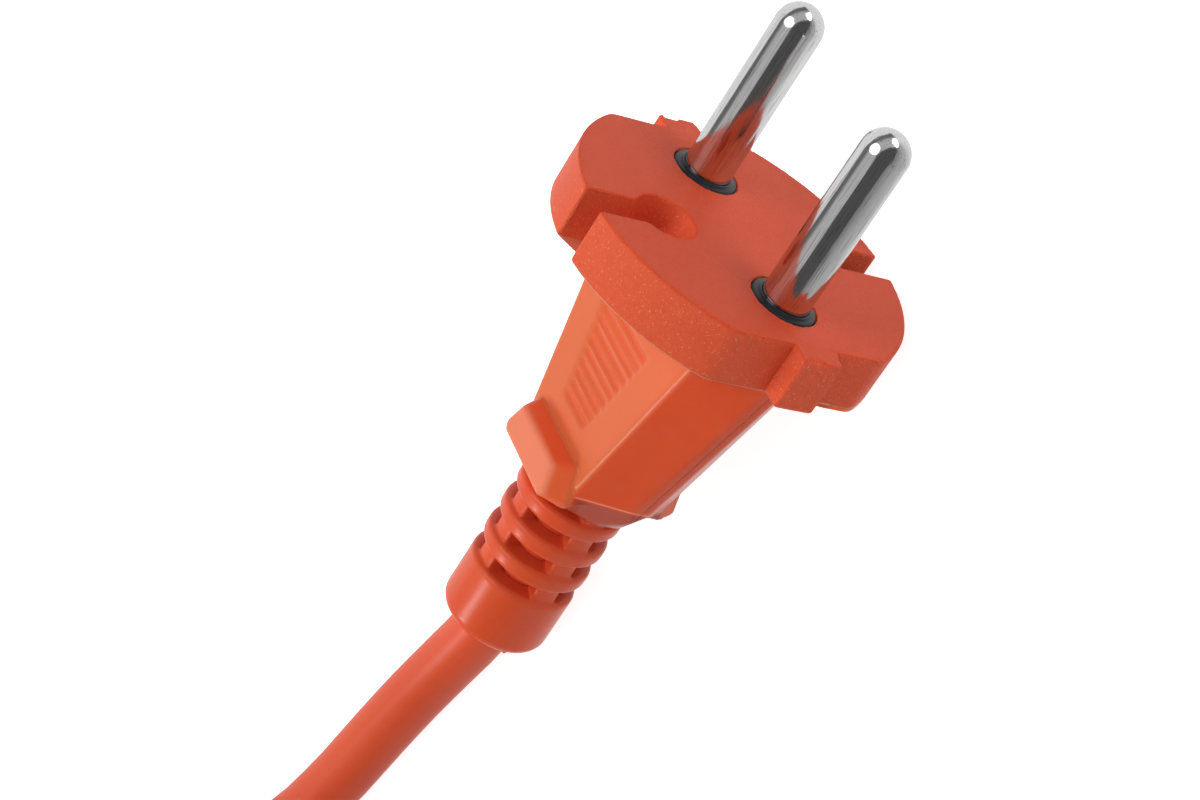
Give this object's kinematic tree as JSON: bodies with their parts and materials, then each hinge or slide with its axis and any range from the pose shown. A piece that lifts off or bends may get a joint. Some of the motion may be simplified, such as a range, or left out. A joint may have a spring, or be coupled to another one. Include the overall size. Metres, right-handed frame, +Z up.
{
  "type": "extension cord",
  "caption": "Moulded extension cord: contour mains plug with round pins and a windowed bend relief, round cord in a strapped hank, and a moulded coupler with a recessed socket.",
  "frame": {"origin": "on the ground under the middle of the plug, which lies on the rear edge of its disc and on the end of its bend relief", "axes": "+X the way the pins point, seen from above; +Z up; +Y along the line of the two pins"},
  "size_m": [0.2733, 0.0721, 0.0813],
  "materials": {
    "orange_moulding": "soft moulded plastic, fine grain, satin",
    "cord_sheath": "smooth extruded sheath, satin",
    "black_moulding": "glossy hard moulding",
    "pin_plating": "bright nickel plating",
    "contact_brass": "turned, bright",
    "spring_steel": "rolled strip",
    "copper_strands": "bare copper strands",
    "core_brown": "smooth insulation",
    "core_blue": "smooth insulation",
    "tie_strap": "woven hook-and-loop strap"
  },
  "bodies": {
    "root": {"plug_body": "orange_moulding", "pin_carrier": "black_moulding", "pin_1": "pin_plating", "pin_2": "pin_plating", "plug_bend_relief": "orange_moulding", "plug_core_brown": "core_brown", "plug_strands_brown": "copper_strands", "plug_core_blue": "core_blue", "plug_strands_blue": "copper_strands", "cord_run": "cord_sheath", "cord_hank": "cord_sheath", "cord_tie": "tie_strap", "cord_tail": "cord_sheath", "coupler_body": "orange_moulding", "socket_insert": "black_moulding", "coupler_bend_relief": "orange_moulding", "contact_sleeve_1": "contact_brass", "contact_sleeve_2": "contact_brass", "contact_spring_1": "spring_steel", "contact_spring_2": "spring_steel", "coupler_core_blue": "core_blue", "coupler_strands_blue": "copper_strands", "coupler_core_brown": "core_brown", "coupler_strands_brown": "copper_strands"}
  },
  "joints": []
}
